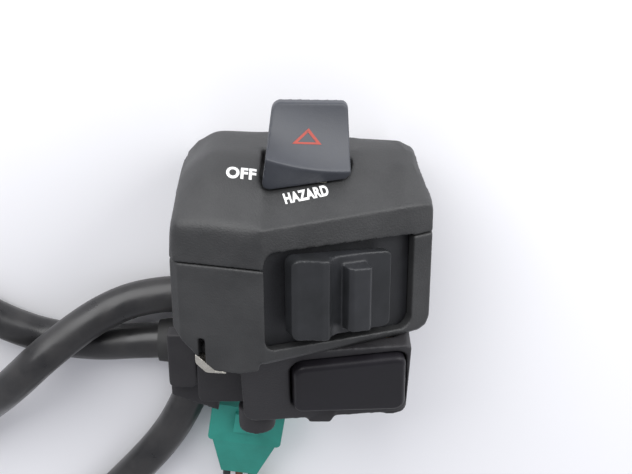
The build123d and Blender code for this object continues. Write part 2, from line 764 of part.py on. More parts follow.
# Plated clip round the lower left corner of the shell
clip_low_z = front_z(chin_cut_x) - clip_tail
with BuildPart() as cable_clip:
    with BuildSketch(Plane.XY.offset(clip_low_z)) as blade:
        side_x = chin_cut_x - clip_side_t
        Polygon((chin_cut_x, -chin_cut_y), (chin_left_x, -left_block_y), (clip_end_x, -left_block_y),
                (clip_end_x, -left_block_y - clip_tip_t),
                (chin_left_x - clip_reach, -left_block_y - clip_low_t),
                (side_x, -chin_cut_y - clip_side_drop), (side_x, -chin_cut_y), align=None)
        bends = blade.vertices().sort_by(Axis.Y)
        fillet([bends[0], bends.filter_by_position(Axis.X, side_x, side_x)[0]], clip_bend_r)
    extrude(amount=clip_tail * 2)
    split(bisect_by=left_face.offset(-clip_drop), keep=Keep.BOTTOM)
cable_clip.part.label = "cable_clip"


def screw(spots, start_y, length, shank_r, head_r):
    """Cross-head screws driven up from below, side by side, their heads at start_y."""
    with BuildPart() as screws:
        with BuildSketch(Plane.XZ.offset(start_y - screw_head_h)):
            with Locations(*spots):
                Circle(head_r)
        extrude(amount=screw_head_h)
        with BuildSketch(Plane.XZ.offset(start_y - screw_head_h - length)):
            with Locations(*spots):
                Circle(shank_r)
        extrude(amount=length)
        with BuildSketch(Plane.XZ.offset(start_y - drive_depth)):
            with Locations(*spots):
                Rectangle(drive_r * 2, drive_r / 2)
                Rectangle(drive_r / 2, drive_r * 2)
        extrude(amount=drive_depth, mode=Mode.SUBTRACT)
    return screws.part


rear_screws = screw([(x, rear_screw_z) for x in rear_screw_xs], foot_y, foot_y - screw_head_h + screw_bite,
                    screw_r, screw_head_r)
rear_screws.label = "rear_clamp_screws"
front_screw = screw([(front_screw_x, front_screw_z)], left_block_y, left_block_y - screw_head_h + screw_bite,
                    screw_r, screw_head_r)
front_screw.label = "front_clamp_screw"
horn_screw_top = -horn_bottom_y + boss_proud
horn_screws = screw([(horn_screw_x, horn_screw_z), (horn_screw_x2, horn_screw_z2)], horn_screw_top,
                    horn_screw_top - screw_head_h - lower_y + shell_wall / 2, small_screw_r, screw_head_r)
horn_screws.label = "horn_housing_screws"

# Loom outlet at the lower left, which the part also rests on
with BuildPart() as loom_outlet:
    with BuildSketch(Plane.XY.offset(outlet_shelf_z)) as bracket:
        Polygon((outlet_x0, bracket_high_y), (outlet_x0, bracket_y), (bracket_x, bracket_y),
                (bracket_x, bracket_high_y), align=None)
        fillet(bracket.vertices().group_by(Axis.Y)[0], bracket_round)
    extrude(amount=bracket_top_z - outlet_shelf_z)
    with BuildSketch(Plane.XY.offset(outlet_shelf_z)) as bridge:
        Polygon((bridge_x, -left_block_y), (bridge_x, bridge_y), (horn_left_x, bridge_y),
                (horn_left_x, -left_block_y), align=None)
        fillet(bridge.vertices().group_by(Axis.Y)[0].sort_by(Axis.X)[0], bracket_round)
    extrude(amount=bridge_top_z - outlet_shelf_z)
    with BuildSketch(Plane.XY.offset(floor_z)):
        Polygon((outlet_x0, outlet_y1), (outlet_x0, outlet_y0), (outlet_x1, outlet_low_y),
                (outlet_x1, outlet_y1), align=None)
    extrude(amount=outlet_shelf_z - floor_z + lower_lip)
loom_outlet.part.label = "loom_outlet"


def arc_radii(points):
    """Largest tangent arcs that fit a route's corners: 0.45 of the shorter run over tan(half the turn)."""
    corners = [Vector(*p) for p in points]
    radii = []
    for before, here, after in zip(corners, corners[1:], corners[2:]):
        turn = (here - before).get_angle(after - here) * pi / 180
        radii.append(0.45 * min((here - before).length, (after - here).length) / tan(turn / 2))
    return radii


def tube(points, diameter, name):
    """Round tube along straight runs joined by tangent arcs."""
    radii = arc_radii(points)
    with BuildPart() as run:
        with BuildLine() as path:
            FilletPolyline(*points, radius=radii)
        start = Vector(*points[0])
        with BuildSketch(Plane(origin=start, z_dir=Vector(*points[1]) - start)):
            Circle(diameter / 2)
        sweep(path=path.wires()[0])
    length = path.wires()[0].length
    expected = pi * diameter**2 / 4 * length
    print(name, "length", round(length, 1), "tightest radius", round(min(radii), 1),
          "volume ratio", round(run.part.volume / expected, 4))
    run.part.label = name
    return run.part


# Loom 1 leaves to the left, turns outside and comes back over itself to the second connector
loom_z = floor_z + loom_d / 2
exit_z = loom_z + neck_wall
hump_z = loom_z + loom_d + hump_room
loom_1_route = [
    (outlet_x0, exit_1_y, exit_z), (outlet_x0 - exit_run, exit_1_y, exit_z), (-51.0, -39.5, loom_z),
    (-65.5, -36.5, loom_z), (-79.5, -28.0, loom_z), (-95.0, -14.5, loom_z), (-117.0, -15.5, loom_z),
    (-132.5, -32.5, loom_z), (-132.0, -55.5, loom_z), (-115.5, -71.0, loom_z), (-93.5, -71.0, loom_z),
    (-78.5, -57.0, loom_z + neck_wall), (-68.0, -46.0, hump_z), (-57.5, -35.5, hump_z),
    (-45.5, -28.8, loom_z + loom_rest), (-34.0, plug_2_y, loom_z), (plug_2_x0, plug_2_y, loom_z),
]
exit_2 = Vector((outlet_x0 + outlet_x1) / 2, (outlet_y0 + outlet_low_y) / 2, exit_z)
exit_2_way = Vector(outlet_low_y - outlet_y0, outlet_x0 - outlet_x1, 0).normalized()
loom_2_route = [
    tuple(exit_2), tuple(exit_2 + exit_2_way * exit_2_run), (-35.8, -65.5, loom_z), (-44.5, -75.5, loom_z),
    (-54.5, -86.0, loom_z), (-61.3, -98.5, loom_z),
    (-62.0, -112.5, loom_z), (-54.5, -126.0, loom_z), (-40.0, -133.3, loom_z), (-24.0, -132.0, loom_z),
    (-11.0, -122.5, loom_z), (-4.7, -108.0, loom_z), (-5.8, -95.0, loom_z),
]
loom_1 = tube(loom_1_route, loom_d, "loom_1")
loom_2 = tube(loom_2_route, loom_d, "loom_2")

# Three wires go on from loom 2's sleeve to the green connector, which lies a little turned
plug_1_axis = Vector(sin(radians(plug_turn)), cos(radians(plug_turn)), 0)
plug_1_across = Vector(plug_1_axis.Y, -plug_1_axis.X, 0)
plug_1_floor = Plane(origin=(plug_1_x, plug_1_y, floor_z), x_dir=plug_1_across, z_dir=(0, 0, 1))
plug_1_middle = Plane(origin=(plug_1_x, plug_1_y, floor_z + plug_h / 2), x_dir=plug_1_across,
                      z_dir=-plug_1_axis)
loom_2_end = Vector(*loom_2_route[-1])
along = (loom_2_end - Vector(*loom_2_route[-2])).normalized()
across = along.cross(Vector(0, 0, 1))
boot_end = plug_1_middle.origin - plug_1_axis * (plug_len / 2 + boot_len)
wires_way = boot_end - plug_1_axis * wire_run - loom_2_end - along * wire_run
leave = wire_pitch * tan(radians(along.get_angle(wires_way)) / 2)
arrive = wire_pitch * tan(radians(wires_way.get_angle(plug_1_axis)) / 2)
wires = []
for index, name in enumerate(("wire_black", "wire_brown", "wire_green")):
    side = index - 1
    start = loom_2_end + across * (side * wire_pitch)
    end = boot_end + plug_1_across * (side * wire_pitch)
    wires.append(tube([tuple(start), tuple(start + along * (wire_run + side * leave)),
                       tuple(end - plug_1_axis * (wire_run - side * arrive)), tuple(end)], wire_d, name))


def grommet(plane, label):
    """Tapered rubber ring round a loom where it leaves the outlet."""
    with BuildPart() as ring:
        with BuildSketch(plane):
            Circle(loom_d / 2 + neck_wall)
        with BuildSketch(plane.offset(neck_len)):
            Circle(loom_d / 2 + neck_wall * neck_taper_share)
        loft()
        with BuildSketch(plane):
            Circle(loom_d / 2 + neck_gap)
        extrude(amount=neck_len, mode=Mode.SUBTRACT)
    ring.part.label = label
    return ring.part


grommet_1 = grommet(Plane(origin=loom_1_route[0], z_dir=(-1, 0, 0)), "grommet_1")
grommet_2 = grommet(Plane(origin=loom_2_route[0], z_dir=exit_2_way), "grommet_2")

# Green connector on loom 2's wires, with the tapered boot the wires go into
with BuildPart() as connector_green:
    with BuildSketch(plug_1_floor) as plug_plan:
        Rectangle(plug_w, plug_len)
        fillet(plug_plan.vertices(), plug_round)
    extrude(amount=plug_h)
    with BuildSketch(plug_1_middle.offset(plug_len / 2)):
        Rectangle(plug_w * plug_step_share, plug_h)
    with BuildSketch(plug_1_middle.offset(plug_len / 2 + boot_len)):
        Rectangle(plug_w * boot_w_share, plug_h * boot_h_share)
    loft()
    with BuildSketch(plug_1_floor.offset(plug_h)):
        with Locations((0, plug_len * latch_at_share)):
            Rectangle(plug_w * latch_w_share, plug_len * latch_len_share)
    extrude(amount=latch_h)
connector_green.part.label = "connector_green"

with BuildPart() as connector_black:
    with BuildSketch(Plane.XY.offset(floor_z)) as plug_plan:
        with Locations((plug_2_x0, plug_2_y)):
            Rectangle(plug_2_len, plug_2_w, align=(Align.MIN, Align.CENTER))
        fillet(plug_plan.vertices(), plug_round)
    extrude(amount=plug_h)
    with BuildSketch(Plane.YZ.offset(plug_2_x0 + plug_2_len)):
        with Locations((plug_2_y, floor_z + plug_h / 2)):
            with GridLocations(wire_pitch, wire_pitch, 3, 2):
                Circle(wire_d / 2)
    extrude(amount=-plug_2_len / 3, mode=Mode.SUBTRACT)
connector_black.part.label = "connector_black"

pieces = [
    upper_shell.part, lower_shell.part, hazard_key.part, hazard_carrier.part, hazard_contact.part,
    hazard_detent_leaf.part, hazard_base.part, turn_panel.part, turn_knob.part, turn_carriage.part,
    turn_contacts.part, turn_base.part, turn_plunger.part, turn_plunger_spring.part, horn_housing.part,
    horn_button.part, horn_base.part, horn_spring.part, horn_contact.part, cable_clip.part, rear_screws,
    front_screw, horn_screws, loom_outlet.part, grommet_1, grommet_2, loom_1, loom_2, *wires,
    connector_green.part, connector_black.part,
]
for piece in pieces:
    export_step(piece, f"parts/{piece.label}.step")
print(len(pieces), "pieces")
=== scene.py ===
# %% [markdown]
# # Handlebar switch cluster
# This lesson dresses a imported model of a motorcycle's handlebar switch cluster: two clamp shells of black
# plastic, a hazard key, a sliding turn switch, a horn button, sleeved looms and a teal connector.
# The frame holds the real shapes. It is loaded first.

import math

import bmesh
import bpy
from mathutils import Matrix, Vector
from mathutils.bvhtree import BVHTree


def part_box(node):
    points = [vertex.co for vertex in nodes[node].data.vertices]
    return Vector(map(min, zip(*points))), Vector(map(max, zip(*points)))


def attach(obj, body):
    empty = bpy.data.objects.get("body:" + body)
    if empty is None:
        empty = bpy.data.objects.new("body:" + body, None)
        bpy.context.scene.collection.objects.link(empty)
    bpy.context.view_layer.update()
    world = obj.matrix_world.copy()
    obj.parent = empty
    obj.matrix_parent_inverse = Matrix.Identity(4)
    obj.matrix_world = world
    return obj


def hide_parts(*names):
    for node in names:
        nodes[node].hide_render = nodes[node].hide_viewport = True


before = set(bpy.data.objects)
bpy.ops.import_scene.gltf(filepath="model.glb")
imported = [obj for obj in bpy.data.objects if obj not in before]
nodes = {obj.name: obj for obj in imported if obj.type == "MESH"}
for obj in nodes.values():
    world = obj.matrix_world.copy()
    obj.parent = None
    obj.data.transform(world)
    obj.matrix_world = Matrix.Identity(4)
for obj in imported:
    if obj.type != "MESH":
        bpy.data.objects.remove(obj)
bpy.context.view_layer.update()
MM = 0.001

# %% [markdown]
# ## Camera
# The photograph looks at the switch face from above, a little from the hazard key's side, with a short
# telephoto view. The camera is placed by its distance from the handlebar's axis and its tilt, so that it
# would see the same faces on the real part.

# %% Camera
FRAME_W, FRAME_H = 632, 474
FOCAL_PX = 1157.0
TILT = math.radians(24.3)
SENSOR_MM = 36.0
camera_data = bpy.data.cameras.new("camera")
camera_data.sensor_width = SENSOR_MM
camera_data.lens = FOCAL_PX / FRAME_W * SENSOR_MM
camera_data.clip_start = 0.005
camera = bpy.data.objects.new("camera", camera_data)
camera.location = Vector((0.0, 90.0, 215.8)) * MM
camera.rotation_euler = (-TILT, 0.0, 0.0)
bpy.context.scene.collection.objects.link(camera)
bpy.context.scene.camera = camera
print("lens", round(camera_data.lens, 1), "mm")

# %% [markdown]
# ## Floor and light
# The part lies on a white table under soft, even light. A large pale floor, two area lamps and a pale
# world are enough.

# %% Floor and light
FLOOR_HALF = 3.0
floor_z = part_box("lower_shell")[0][2]


def new_material(name):
    """A material with nodes, and its tree and principled shader to work on."""
    material = bpy.data.materials.new(name)
    material.use_nodes = True
    return material, material.node_tree, material.node_tree.nodes["Principled BSDF"]


def plain_material(name, colour, roughness=0.6):
    """One principled shader with its colour and roughness set on its own sockets."""
    material, _, shader = new_material(name)
    shader.inputs["Base Color"].default_value = (*colour, 1.0)
    shader.inputs["Roughness"].default_value = roughness
    return material


floor_mesh = bpy.data.meshes.new("floor")
floor_mesh.from_pydata([(-FLOOR_HALF, -FLOOR_HALF, 0), (FLOOR_HALF, -FLOOR_HALF, 0),
                        (FLOOR_HALF, FLOOR_HALF, 0), (-FLOOR_HALF, FLOOR_HALF, 0)], [], [(0, 1, 2, 3)])
floor = bpy.data.objects.new("floor", floor_mesh)
floor.location = (0, 0, floor_z)
floor_mesh.materials.append(plain_material("table_white", (0.86, 0.86, 0.88)))
bpy.context.scene.collection.objects.link(floor)


def area_lamp(name, place, size, power, target=(0, -10, 10)):
    """Square soft lamp at a place in millimetres, turned to the part."""
    data = bpy.data.lights.new(name, "AREA")
    data.size = size
    data.energy = power
    lamp = bpy.data.objects.new(name, data)
    lamp.location = Vector(place) * MM
    aim = Vector(target) * MM - lamp.location
    lamp.rotation_euler = aim.to_track_quat("-Z", "Y").to_euler()
    bpy.context.scene.collection.objects.link(lamp)


area_lamp("key_lamp", (-230, 560, 360), 0.7, 6.2)
area_lamp("side_lamp", (480, 280, 240), 0.4, 2.6)
world = bpy.data.worlds.new("world")
world.use_nodes = True
background = world.node_tree.nodes["Background"]
background.inputs["Color"].default_value = (0.92, 0.93, 1.0, 1.0)
background.inputs["Strength"].default_value = 0.56
bpy.context.scene.world = world
bpy.context.scene.view_settings.view_transform = "Standard"
print("stage ready")

# %% [markdown]
# ## Plastics
# The shells are moulded ABS with a fine spark-eroded grain and a little dust. The grain is a fine noise sent
# through a bump node, and a much wider noise moves the colour and the roughness a little, so that no large
# face is one flat tone. The knob, the horn button and the teal connector are also paler along their edges.
# This is partly wear where hands rub them and partly a painted highlight along the rounded edges. All
# textures use the object's own coordinates, so they stay on the part from every side.

# %% Material helper
STAIN_SCALE, SPECK_SCALE = 90.0, 2400.0
GRAIN_HEIGHT = 0.0002


def add(tree, kind, **sockets):
    """One shader node with some of its input sockets set to fixed values."""
    node = tree.nodes.new(kind)
    for name, value in sockets.items():
        node.inputs[name].default_value = value
    return node


def ramp(tree, factor, low, high, start=0.35, end=0.65):
    """Colour ramp between two colours, fed by a factor socket."""
    node = tree.nodes.new("ShaderNodeValToRGB")
    node.color_ramp.elements[0].position = start
    node.color_ramp.elements[0].color = (*low, 1.0)
    node.color_ramp.elements[1].position = end
    node.color_ramp.elements[1].color = (*high, 1.0)
    tree.links.new(factor, node.inputs["Fac"])
    return node


def noise(tree, coords, scale, detail=2.0, roughness=0.5):
    """Noise texture on the object's own coordinates, with its size given in features per metre."""
    node = add(tree, "ShaderNodeTexNoise", Scale=scale, Detail=detail, Roughness=roughness)
    tree.links.new(coords.outputs["Object"], node.inputs["Vector"])
    return node


def moulded_plastic(name, dark, pale, grain, grain_depth, rough_low, rough_high, edge_wear_and_highlight=0.0, dusty=0.0,
                    specular=0.42):
    """Moulded plastic: fine grain as bump, wide stains, and if asked for, worn edges with a painted
    highlight.
    """
    material, tree, shader = new_material(name)
    coords = tree.nodes.new("ShaderNodeTexCoord")
    stain = noise(tree, coords, STAIN_SCALE, detail=5.0, roughness=0.62)
    colour = ramp(tree, stain.outputs["Fac"], dark, pale)
    speck = noise(tree, coords, SPECK_SCALE, detail=3.0, roughness=0.7)
    dust = ramp(tree, speck.outputs["Fac"], (0.0, 0.0, 0.0), (1.0, 1.0, 1.0), 0.71, 0.78)
    mix = tree.nodes.new("ShaderNodeMixRGB")
    mix.inputs["Color2"].default_value = (*[min(1.0, c * 2.6 + 0.03) for c in pale], 1.0)
    weight = tree.nodes.new("ShaderNodeMath")
    weight.operation = "MULTIPLY"
    weight.inputs[1].default_value = dusty
    tree.links.new(dust.outputs["Color"], weight.inputs[0])
    tree.links.new(weight.outputs["Value"], mix.inputs["Fac"])
    tree.links.new(colour.outputs["Color"], mix.inputs["Color1"])
    last = mix.outputs["Color"]
    if edge_wear_and_highlight > 0:
        # Convex edges are made paler, partly as wear and partly as a painted highlight along the rounded
        # edges.
        geometry = tree.nodes.new("ShaderNodeNewGeometry")
        worn = ramp(tree, geometry.outputs["Pointiness"], (0.0, 0.0, 0.0), (edge_wear_and_highlight, edge_wear_and_highlight, edge_wear_and_highlight), 0.56, 0.68)
        rub_and_highlight = tree.nodes.new("ShaderNodeMixRGB")
        rub_and_highlight.inputs["Color2"].default_value = (*[min(1.0, c * 2.2 + 0.02) for c in pale], 1.0)
        tree.links.new(worn.outputs["Color"], rub_and_highlight.inputs["Fac"])
        tree.links.new(last, rub_and_highlight.inputs["Color1"])
        last = rub_and_highlight.outputs["Color"]
    tree.links.new(last, shader.inputs["Base Color"])
    gloss = ramp(tree, stain.outputs["Fac"], (rough_low,) * 3, (rough_high,) * 3)
    tree.links.new(gloss.outputs["Color"], shader.inputs["Roughness"])
    fine = noise(tree, coords, grain, detail=3.0, roughness=0.6)
    bump = add(tree, "ShaderNodeBump", Strength=grain_depth, Distance=GRAIN_HEIGHT)
    tree.links.new(fine.outputs["Fac"], bump.inputs["Height"])
    tree.links.new(bump.outputs["Normal"], shader.inputs["Normal"])
    shader.inputs["Specular IOR Level"].default_value = specular
    return material


shell_black = moulded_plastic("shell_black_abs", (0.020, 0.0205, 0.021), (0.033, 0.0335, 0.034), 2600.0,
                              0.42, 0.46, 0.60, dusty=0.22, specular=0.5)
housing_black = moulded_plastic("housing_black_abs", (0.018, 0.017, 0.019), (0.028, 0.027, 0.029), 2600.0,
                                0.38, 0.52, 0.68, dusty=0.12)
key_black = moulded_plastic("key_black_abs", (0.036, 0.039, 0.047), (0.048, 0.052, 0.062), 4200.0,
                            0.12, 0.34, 0.46)
knob_black = moulded_plastic("knob_black_nylon", (0.013, 0.014, 0.015), (0.021, 0.022, 0.025), 4200.0,
                             0.12, 0.34, 0.46, edge_wear_and_highlight=0.35)
horn_black = moulded_plastic("horn_black_nylon", (0.007, 0.006, 0.008), (0.011, 0.010, 0.013), 4200.0,
                             0.08, 0.38, 0.48, edge_wear_and_highlight=0.3, specular=0.24)
panel_black = moulded_plastic("panel_black", (0.016, 0.0165, 0.018), (0.023, 0.024, 0.027), 3200.0,
                              0.2, 0.45, 0.6)
natural_nylon = moulded_plastic("carriage_natural_nylon", (0.60, 0.57, 0.47), (0.68, 0.66, 0.56), 2600.0,
                                0.15, 0.4, 0.5)
phenolic_board = moulded_plastic("terminal_board_phenolic", (0.20, 0.10, 0.04), (0.28, 0.15, 0.06), 1500.0,
                                 0.25, 0.45, 0.6)
teal_nylon = moulded_plastic("connector_teal_nylon", (0.020, 0.215, 0.170), (0.028, 0.280, 0.225), 2600.0,
                             0.15, 0.34, 0.48, edge_wear_and_highlight=0.2)
connector_dark = moulded_plastic("connector_dark_nylon", (0.018, 0.018, 0.019), (0.030, 0.030, 0.031),
                                 2600.0, 0.15, 0.4, 0.5)
print("plastics", len(bpy.data.materials))

# %% [markdown]
# ## Metals, rubber and vinyl
# Zinc plate is bright with a faint yellow cast and fine uneven streaks. The loom sleeves are soft black vinyl
# with a broad highlight and wide, shallow dents, and single wires have smoother insulation.

# %% Metal and vinyl materials
STREAK_SCALE, PATCH_SCALE = 1400.0, 160.0
ROUGH_SPREAD = 0.16


def plated_metal(name, colour, rough_low, rough_high):
    """Plated steel or brass with faint streaks in its colour and roughness."""
    material, tree, shader = new_material(name)
    shader.inputs["Metallic"].default_value = 1.0
    coords = tree.nodes.new("ShaderNodeTexCoord")
    streak = noise(tree, coords, STREAK_SCALE, detail=4.0, roughness=0.7)
    tone = ramp(tree, streak.outputs["Fac"], [c * 0.72 for c in colour], colour)
    tree.links.new(tone.outputs["Color"], shader.inputs["Base Color"])
    gloss = ramp(tree, streak.outputs["Fac"], (rough_high,) * 3, (rough_low,) * 3)
    tree.links.new(gloss.outputs["Color"], shader.inputs["Roughness"])
    bump = add(tree, "ShaderNodeBump", Strength=0.15, Distance=0.0001)
    tree.links.new(streak.outputs["Fac"], bump.inputs["Height"])
    tree.links.new(bump.outputs["Normal"], shader.inputs["Normal"])
    return material


def soft_vinyl(name, dark, pale, rough, wrinkle=0.35, sheen=0.15, crease_scale=420.0, crease_depth=0.0006):
    """Soft vinyl or rubber: uneven tone, shallow dents and a broad sheen."""
    material, tree, shader = new_material(name)
    coords = tree.nodes.new("ShaderNodeTexCoord")
    patch = noise(tree, coords, PATCH_SCALE, detail=5.0, roughness=0.6)
    tone = ramp(tree, patch.outputs["Fac"], dark, pale)
    tree.links.new(tone.outputs["Color"], shader.inputs["Base Color"])
    gloss = ramp(tree, patch.outputs["Fac"], (rough,) * 3, (rough + ROUGH_SPREAD,) * 3)
    tree.links.new(gloss.outputs["Color"], shader.inputs["Roughness"])
    crease = noise(tree, coords, crease_scale, detail=1.5, roughness=0.4)
    bump = add(tree, "ShaderNodeBump", Strength=wrinkle, Distance=crease_depth)
    tree.links.new(crease.outputs["Fac"], bump.inputs["Height"])
    tree.links.new(bump.outputs["Normal"], shader.inputs["Normal"])
    shader.inputs["Sheen Weight"].default_value = sheen
    return material


zinc_clip = plated_metal("clip_zinc_plate", (0.74, 0.71, 0.63), 0.22, 0.42)
screw_zinc = plated_metal("screw_zinc_plate", (0.56, 0.56, 0.55), 0.3, 0.5)
spring_steel = plated_metal("spring_steel", (0.50, 0.50, 0.52), 0.25, 0.4)
contact_brass = plated_metal("contact_brass", (0.78, 0.58, 0.28), 0.25, 0.4)
grommet_rubber = soft_vinyl("grommet_rubber", (0.018, 0.018, 0.018), (0.03, 0.03, 0.03), 0.6, 0.2, 0.05)
sleeve_vinyl = soft_vinyl("sleeve_vinyl", (0.010, 0.010, 0.011), (0.024, 0.023, 0.023), 0.27, 0.6, 0.12,
                          crease_scale=85.0, crease_depth=0.0018)
wire_finishes = {
    "black": soft_vinyl("wire_vinyl_black", (0.012, 0.012, 0.012), (0.022, 0.022, 0.022), 0.35, 0.1),
    "brown": soft_vinyl("wire_vinyl_brown", (0.11, 0.045, 0.02), (0.15, 0.065, 0.03), 0.35, 0.1),
    "green": soft_vinyl("wire_vinyl_green", (0.03, 0.17, 0.08), (0.04, 0.23, 0.11), 0.35, 0.1),
}
print("materials", len(bpy.data.materials))

# %% [markdown]
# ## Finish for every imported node
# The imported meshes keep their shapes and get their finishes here. Each node's object has one material slot,
# so it is filled with the finish that the real piece has.

# %% Assign finishes
node_finish = {
    "upper_shell": shell_black, "lower_shell": shell_black, "horn_housing": housing_black,
    "loom_outlet": housing_black, "hazard_key": key_black, "turn_knob": knob_black,
    "horn_button": horn_black, "turn_panel": panel_black, "hazard_carrier": natural_nylon,
    "turn_carriage": natural_nylon, "hazard_base": phenolic_board, "turn_base": phenolic_board,
    "horn_base": phenolic_board, "hazard_contact": contact_brass, "turn_contacts": contact_brass,
    "horn_contact": contact_brass, "turn_plunger": contact_brass, "turn_plunger_spring": spring_steel,
    "hazard_detent_leaf": spring_steel, "horn_spring": spring_steel, "cable_clip": zinc_clip,
    "rear_clamp_screws": screw_zinc, "front_clamp_screw": screw_zinc, "horn_housing_screws": screw_zinc,
    "grommet_1": grommet_rubber, "grommet_2": grommet_rubber, "connector_green": teal_nylon,
    "connector_black": connector_dark,
}
for node_name, finish in node_finish.items():
    mesh = nodes[node_name].data
    mesh.materials.clear()
    mesh.materials.append(finish)
print("finished nodes", len(node_finish))

# %% [markdown]
# ## Softened mouldings
# A mould leaves every outer corner a little round, and light runs along those corners, which the sharp packed
# meshes don't show. Each of the larger mouldings is copied, rebuilt by a voxel remesh into small even faces,
# and smoothed a little, so that its corners and creases turn soft. The upper shell's shoulders are smoothed
# much more, because they are domed on the real part. The copies lose some small inner edges by this. A bevel
# would be quicker, but it trips over the many cut-outs of these shells.

# %% Softened copies
def applied(piece):
    """Give the piece the mesh that its modifiers make, and take them off."""
    graph = bpy.context.evaluated_depsgraph_get()
    mesh = bpy.data.meshes.new_from_object(piece.evaluated_get(graph))
    piece.modifiers.clear()
    piece.data = mesh
    return mesh


def softened(node, body, finish, voxel, rounds, blend_weight=None, blend_rounds=240):
    """Copy of a packed moulding with softly rounded corners, which stands for the node."""
    piece = bpy.data.objects.new(node + "_moulding", nodes[node].data.copy())
    bpy.context.scene.collection.objects.link(piece)
    remesh = piece.modifiers.new("remesh", "REMESH")
    remesh.mode = "VOXEL"
    remesh.voxel_size = voxel * MM
    smooth = piece.modifiers.new("smooth", "SMOOTH")
    smooth.factor = 0.5
    smooth.iterations = rounds
    mesh = applied(piece)
    if blend_weight:
        area = piece.vertex_groups.new(name="blend")
        for vertex in mesh.vertices:
            weight = blend_weight(*[c / MM for c in vertex.co])
            if weight > 0:
                area.add([vertex.index], weight, "REPLACE")
        smooth = piece.modifiers.new("blend", "SMOOTH")
        smooth.vertex_group = area.name
        smooth.iterations = blend_rounds
        mesh = applied(piece)
    mesh.name = piece.name
    mesh.materials.clear()
    mesh.materials.append(finish)
    mesh.polygons.foreach_set("material_index", [0] * len(mesh.polygons))
    mesh.shade_smooth()
    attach(piece, body)
    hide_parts(node)
    print(piece.name, len(mesh.polygons), "faces")
    return piece


BORE_KEEP_R = 13.5


def fade(value, low, high):
    """0 below low, 1 above high, and a straight change between them."""
    return min(1.0, max(0.0, (value - low) / (high - low)))


def shoulder_weight(x, y, z):
    """Where the upper shell is smoothly domed: away from its seam, window, key notch, visor edge and bore."""
    if math.hypot(y, z) < BORE_KEEP_R:
        return 0.0
    left_of_nose = fade(-x, 9.8, 12.5)
    above_visor = fade(y, 8.6, 10.4) * max(fade(x, 7.6, 9.6), fade(-x, 10.8, 12.5))
    return fade(y, 1.4, 4.5) * max(left_of_nose, above_visor)


upper = softened("upper_shell", "housing", shell_black, 0.28, 4, shoulder_weight)
softened("lower_shell", "housing", shell_black, 0.28, 4)
softened("horn_housing", "housing", housing_black, 0.35, 4)
softened("loom_outlet", "housing", housing_black, 0.4, 4)
key = softened("hazard_key", "hazard_switch", key_black, 0.22, 8)
softened("turn_knob", "turn_button", knob_black, 0.22, 7)

# The horn button's hollow keeps its sharp corners, and points that would touch the spring at the end of the
# push are moved off it, because a smoothed hollow is a little too small for the spring.
HORN_TRAVEL = 2.0
SPRING_ROOM = 0.22 * MM
HOLLOW_NEAR, HOLLOW_FAR = 2.4, 2.8
spring = nodes["horn_spring"].data
spring_tree = BVHTree.FromPolygons([v.co for v in spring.vertices], [p.vertices for p in spring.polygons])


def outer_weight(x, y, z):
    """1 on the horn button's outer faces, 0 round the hollow that its spring fills when it is pushed."""
    return fade(spring_tree.find_nearest(Vector((x, y, z)) * MM)[3] / MM, HOLLOW_NEAR, HOLLOW_FAR)


horn = softened("horn_button", "horn_push_button", horn_black, 0.25, 0, outer_weight, 4)
horn_push = Vector((-0.181339, 0.380812, -0.906696)) * HORN_TRAVEL * MM
for vertex in horn.data.vertices:
    pushed = vertex.co + horn_push
    touch, outward, _, distance = spring_tree.find_nearest(pushed)
    gap = (pushed - touch).dot(outward)
    if distance < 3 * SPRING_ROOM and gap < SPRING_ROOM:
        vertex.co += outward * (SPRING_ROOM - gap)
softened("cable_clip", "housing", zinc_clip, 0.1, 10)

# %% [markdown]
# ## Printed words and sign
# The words OFF and HAZARD are white ink printed on the upper shell, and a plain red triangle outline is
# printed on the key. A font curve turned into a mesh gives the letters, and every point of them is dropped
# onto the moulding under it, so that the ink lies on the curved plastic with hardly any height. An image
# texture would be the usual way, but thin ink as geometry stays sharp at any size.

# %% Ink material
def ink(name, colour, worn):
    """Matt printing ink with small worn patches."""
    material, tree, shader = new_material(name)
    coords = tree.nodes.new("ShaderNodeTexCoord")
    patches = noise(tree, coords, 1500.0, detail=4.0, roughness=0.7)
    tone = ramp(tree, patches.outputs["Fac"], worn, colour, 0.3, 0.42)
    tree.links.new(tone.outputs["Color"], shader.inputs["Base Color"])
    shader.inputs["Roughness"].default_value = 0.55
    return material


white_ink = ink("ink_white", (0.80, 0.80, 0.79), (0.42, 0.42, 0.42))
red_ink = ink("ink_red", (0.34, 0.045, 0.028), (0.14, 0.035, 0.03))

# %% Dropping flat print onto a moulding
INK_T = 0.05
DROP_FROM, DROP_REACH = 3.0, 8.0


def print_on(name, flat, low_left, low_right, top_left, carrier, body, finish):
    """Flat mesh of unit height and width, laid over three corners and dropped onto the carrier's surface."""
    origin = Vector(low_left)
    right, up = Vector(low_right) - origin, Vector(top_left) - origin
    normal = right.cross(up).normalized()
    surface = BVHTree.FromPolygons([v.co for v in carrier.data.vertices],
                                   [tuple(p.vertices) for p in carrier.data.polygons])
    shape = bmesh.new()
    shape.from_mesh(flat)
    for point in shape.verts:
        place = (origin + right * point.co.x + up * point.co.y) * MM
        hit = surface.ray_cast(place + normal * DROP_FROM * MM, -normal, DROP_REACH * MM)
        point.co = (hit[0] if hit[0] else place) + normal * INK_T * MM
    mesh = bpy.data.meshes.new(name)
    shape.to_mesh(mesh)
    shape.free()
    mesh.materials.append(finish)
    piece = bpy.data.objects.new(name, mesh)
    bpy.context.scene.collection.objects.link(piece)
    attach(piece, body)
    print(name, len(mesh.polygons), "faces")


